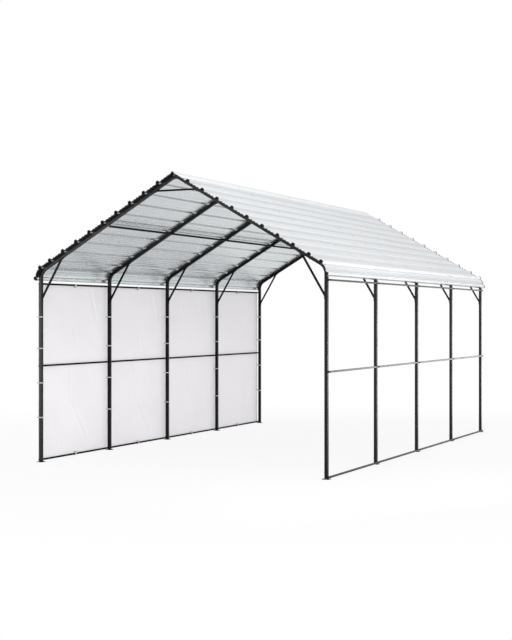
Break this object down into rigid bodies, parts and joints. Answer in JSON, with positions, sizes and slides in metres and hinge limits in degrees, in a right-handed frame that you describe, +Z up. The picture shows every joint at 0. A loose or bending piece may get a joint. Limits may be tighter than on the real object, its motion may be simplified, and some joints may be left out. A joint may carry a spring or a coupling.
{
  "type": "carport",
  "caption": "Open gable carport of bent square-tube frames with a ribbed steel roof, side rails and knee braces, and one long side closed by a tied sheet wall.",
  "frame": {"origin": "ground level, at the middle of the carport's length and width", "axes": "+Z up; +Y along the ridge from the front opening to the back; +X to the right seen from the front, so the sheeted side is at -X"},
  "size_m": [3.7386, 6.164, 3.3315],
  "materials": {
    "frame_paint": "black satin powder coat",
    "roof_steel": "pale grey coated galvanised sheet",
    "edge_trim": "black",
    "wall_cover": "white coated woven sheet",
    "tie_band": "white elastic band"
  },
  "bodies": {
    "root": {"foot_plates": "frame_paint", "post_left_1": "frame_paint", "post_left_2": "frame_paint", "post_left_3": "frame_paint", "post_left_4": "frame_paint", "post_left_5": "frame_paint", "post_right_1": "frame_paint", "post_right_2": "frame_paint", "post_right_3": "frame_paint", "post_right_4": "frame_paint", "post_right_5": "frame_paint", "eave_elbows_left": "frame_paint", "eave_elbows_right": "frame_paint", "rafter_left_1": "frame_paint", "rafter_left_2": "frame_paint", "rafter_left_3": "frame_paint", "rafter_left_4": "frame_paint", "rafter_left_5": "frame_paint", "rafter_right_1": "frame_paint", "rafter_right_2": "frame_paint", "rafter_right_3": "frame_paint", "rafter_right_4": "frame_paint", "rafter_right_5": "frame_paint", "ridge_crowns": "frame_paint", "knee_braces": "frame_paint", "collar_ties": "frame_paint", "purlins": "frame_paint", "eave_rail_left": "frame_paint", "mid_rail_left": "frame_paint", "ground_rail_left": "frame_paint", "eave_rail_right": "frame_paint", "mid_rail_right": "frame_paint", "ground_rail_right": "frame_paint", "roof_sheet_left_upper": "roof_steel", "roof_sheet_left_lower": "roof_steel", "roof_sheet_left_eave": "roof_steel", "roof_sheet_right_upper": "roof_steel", "roof_sheet_right_lower": "roof_steel", "roof_sheet_right_eave": "roof_steel", "ridge_cap": "roof_steel", "edge_trims": "edge_trim", "wall_panel_1": "wall_cover", "wall_panel_2": "wall_cover", "wall_panel_3": "wall_cover", "wall_panel_4": "wall_cover", "wall_ties": "tie_band"}
  },
  "joints": []
}
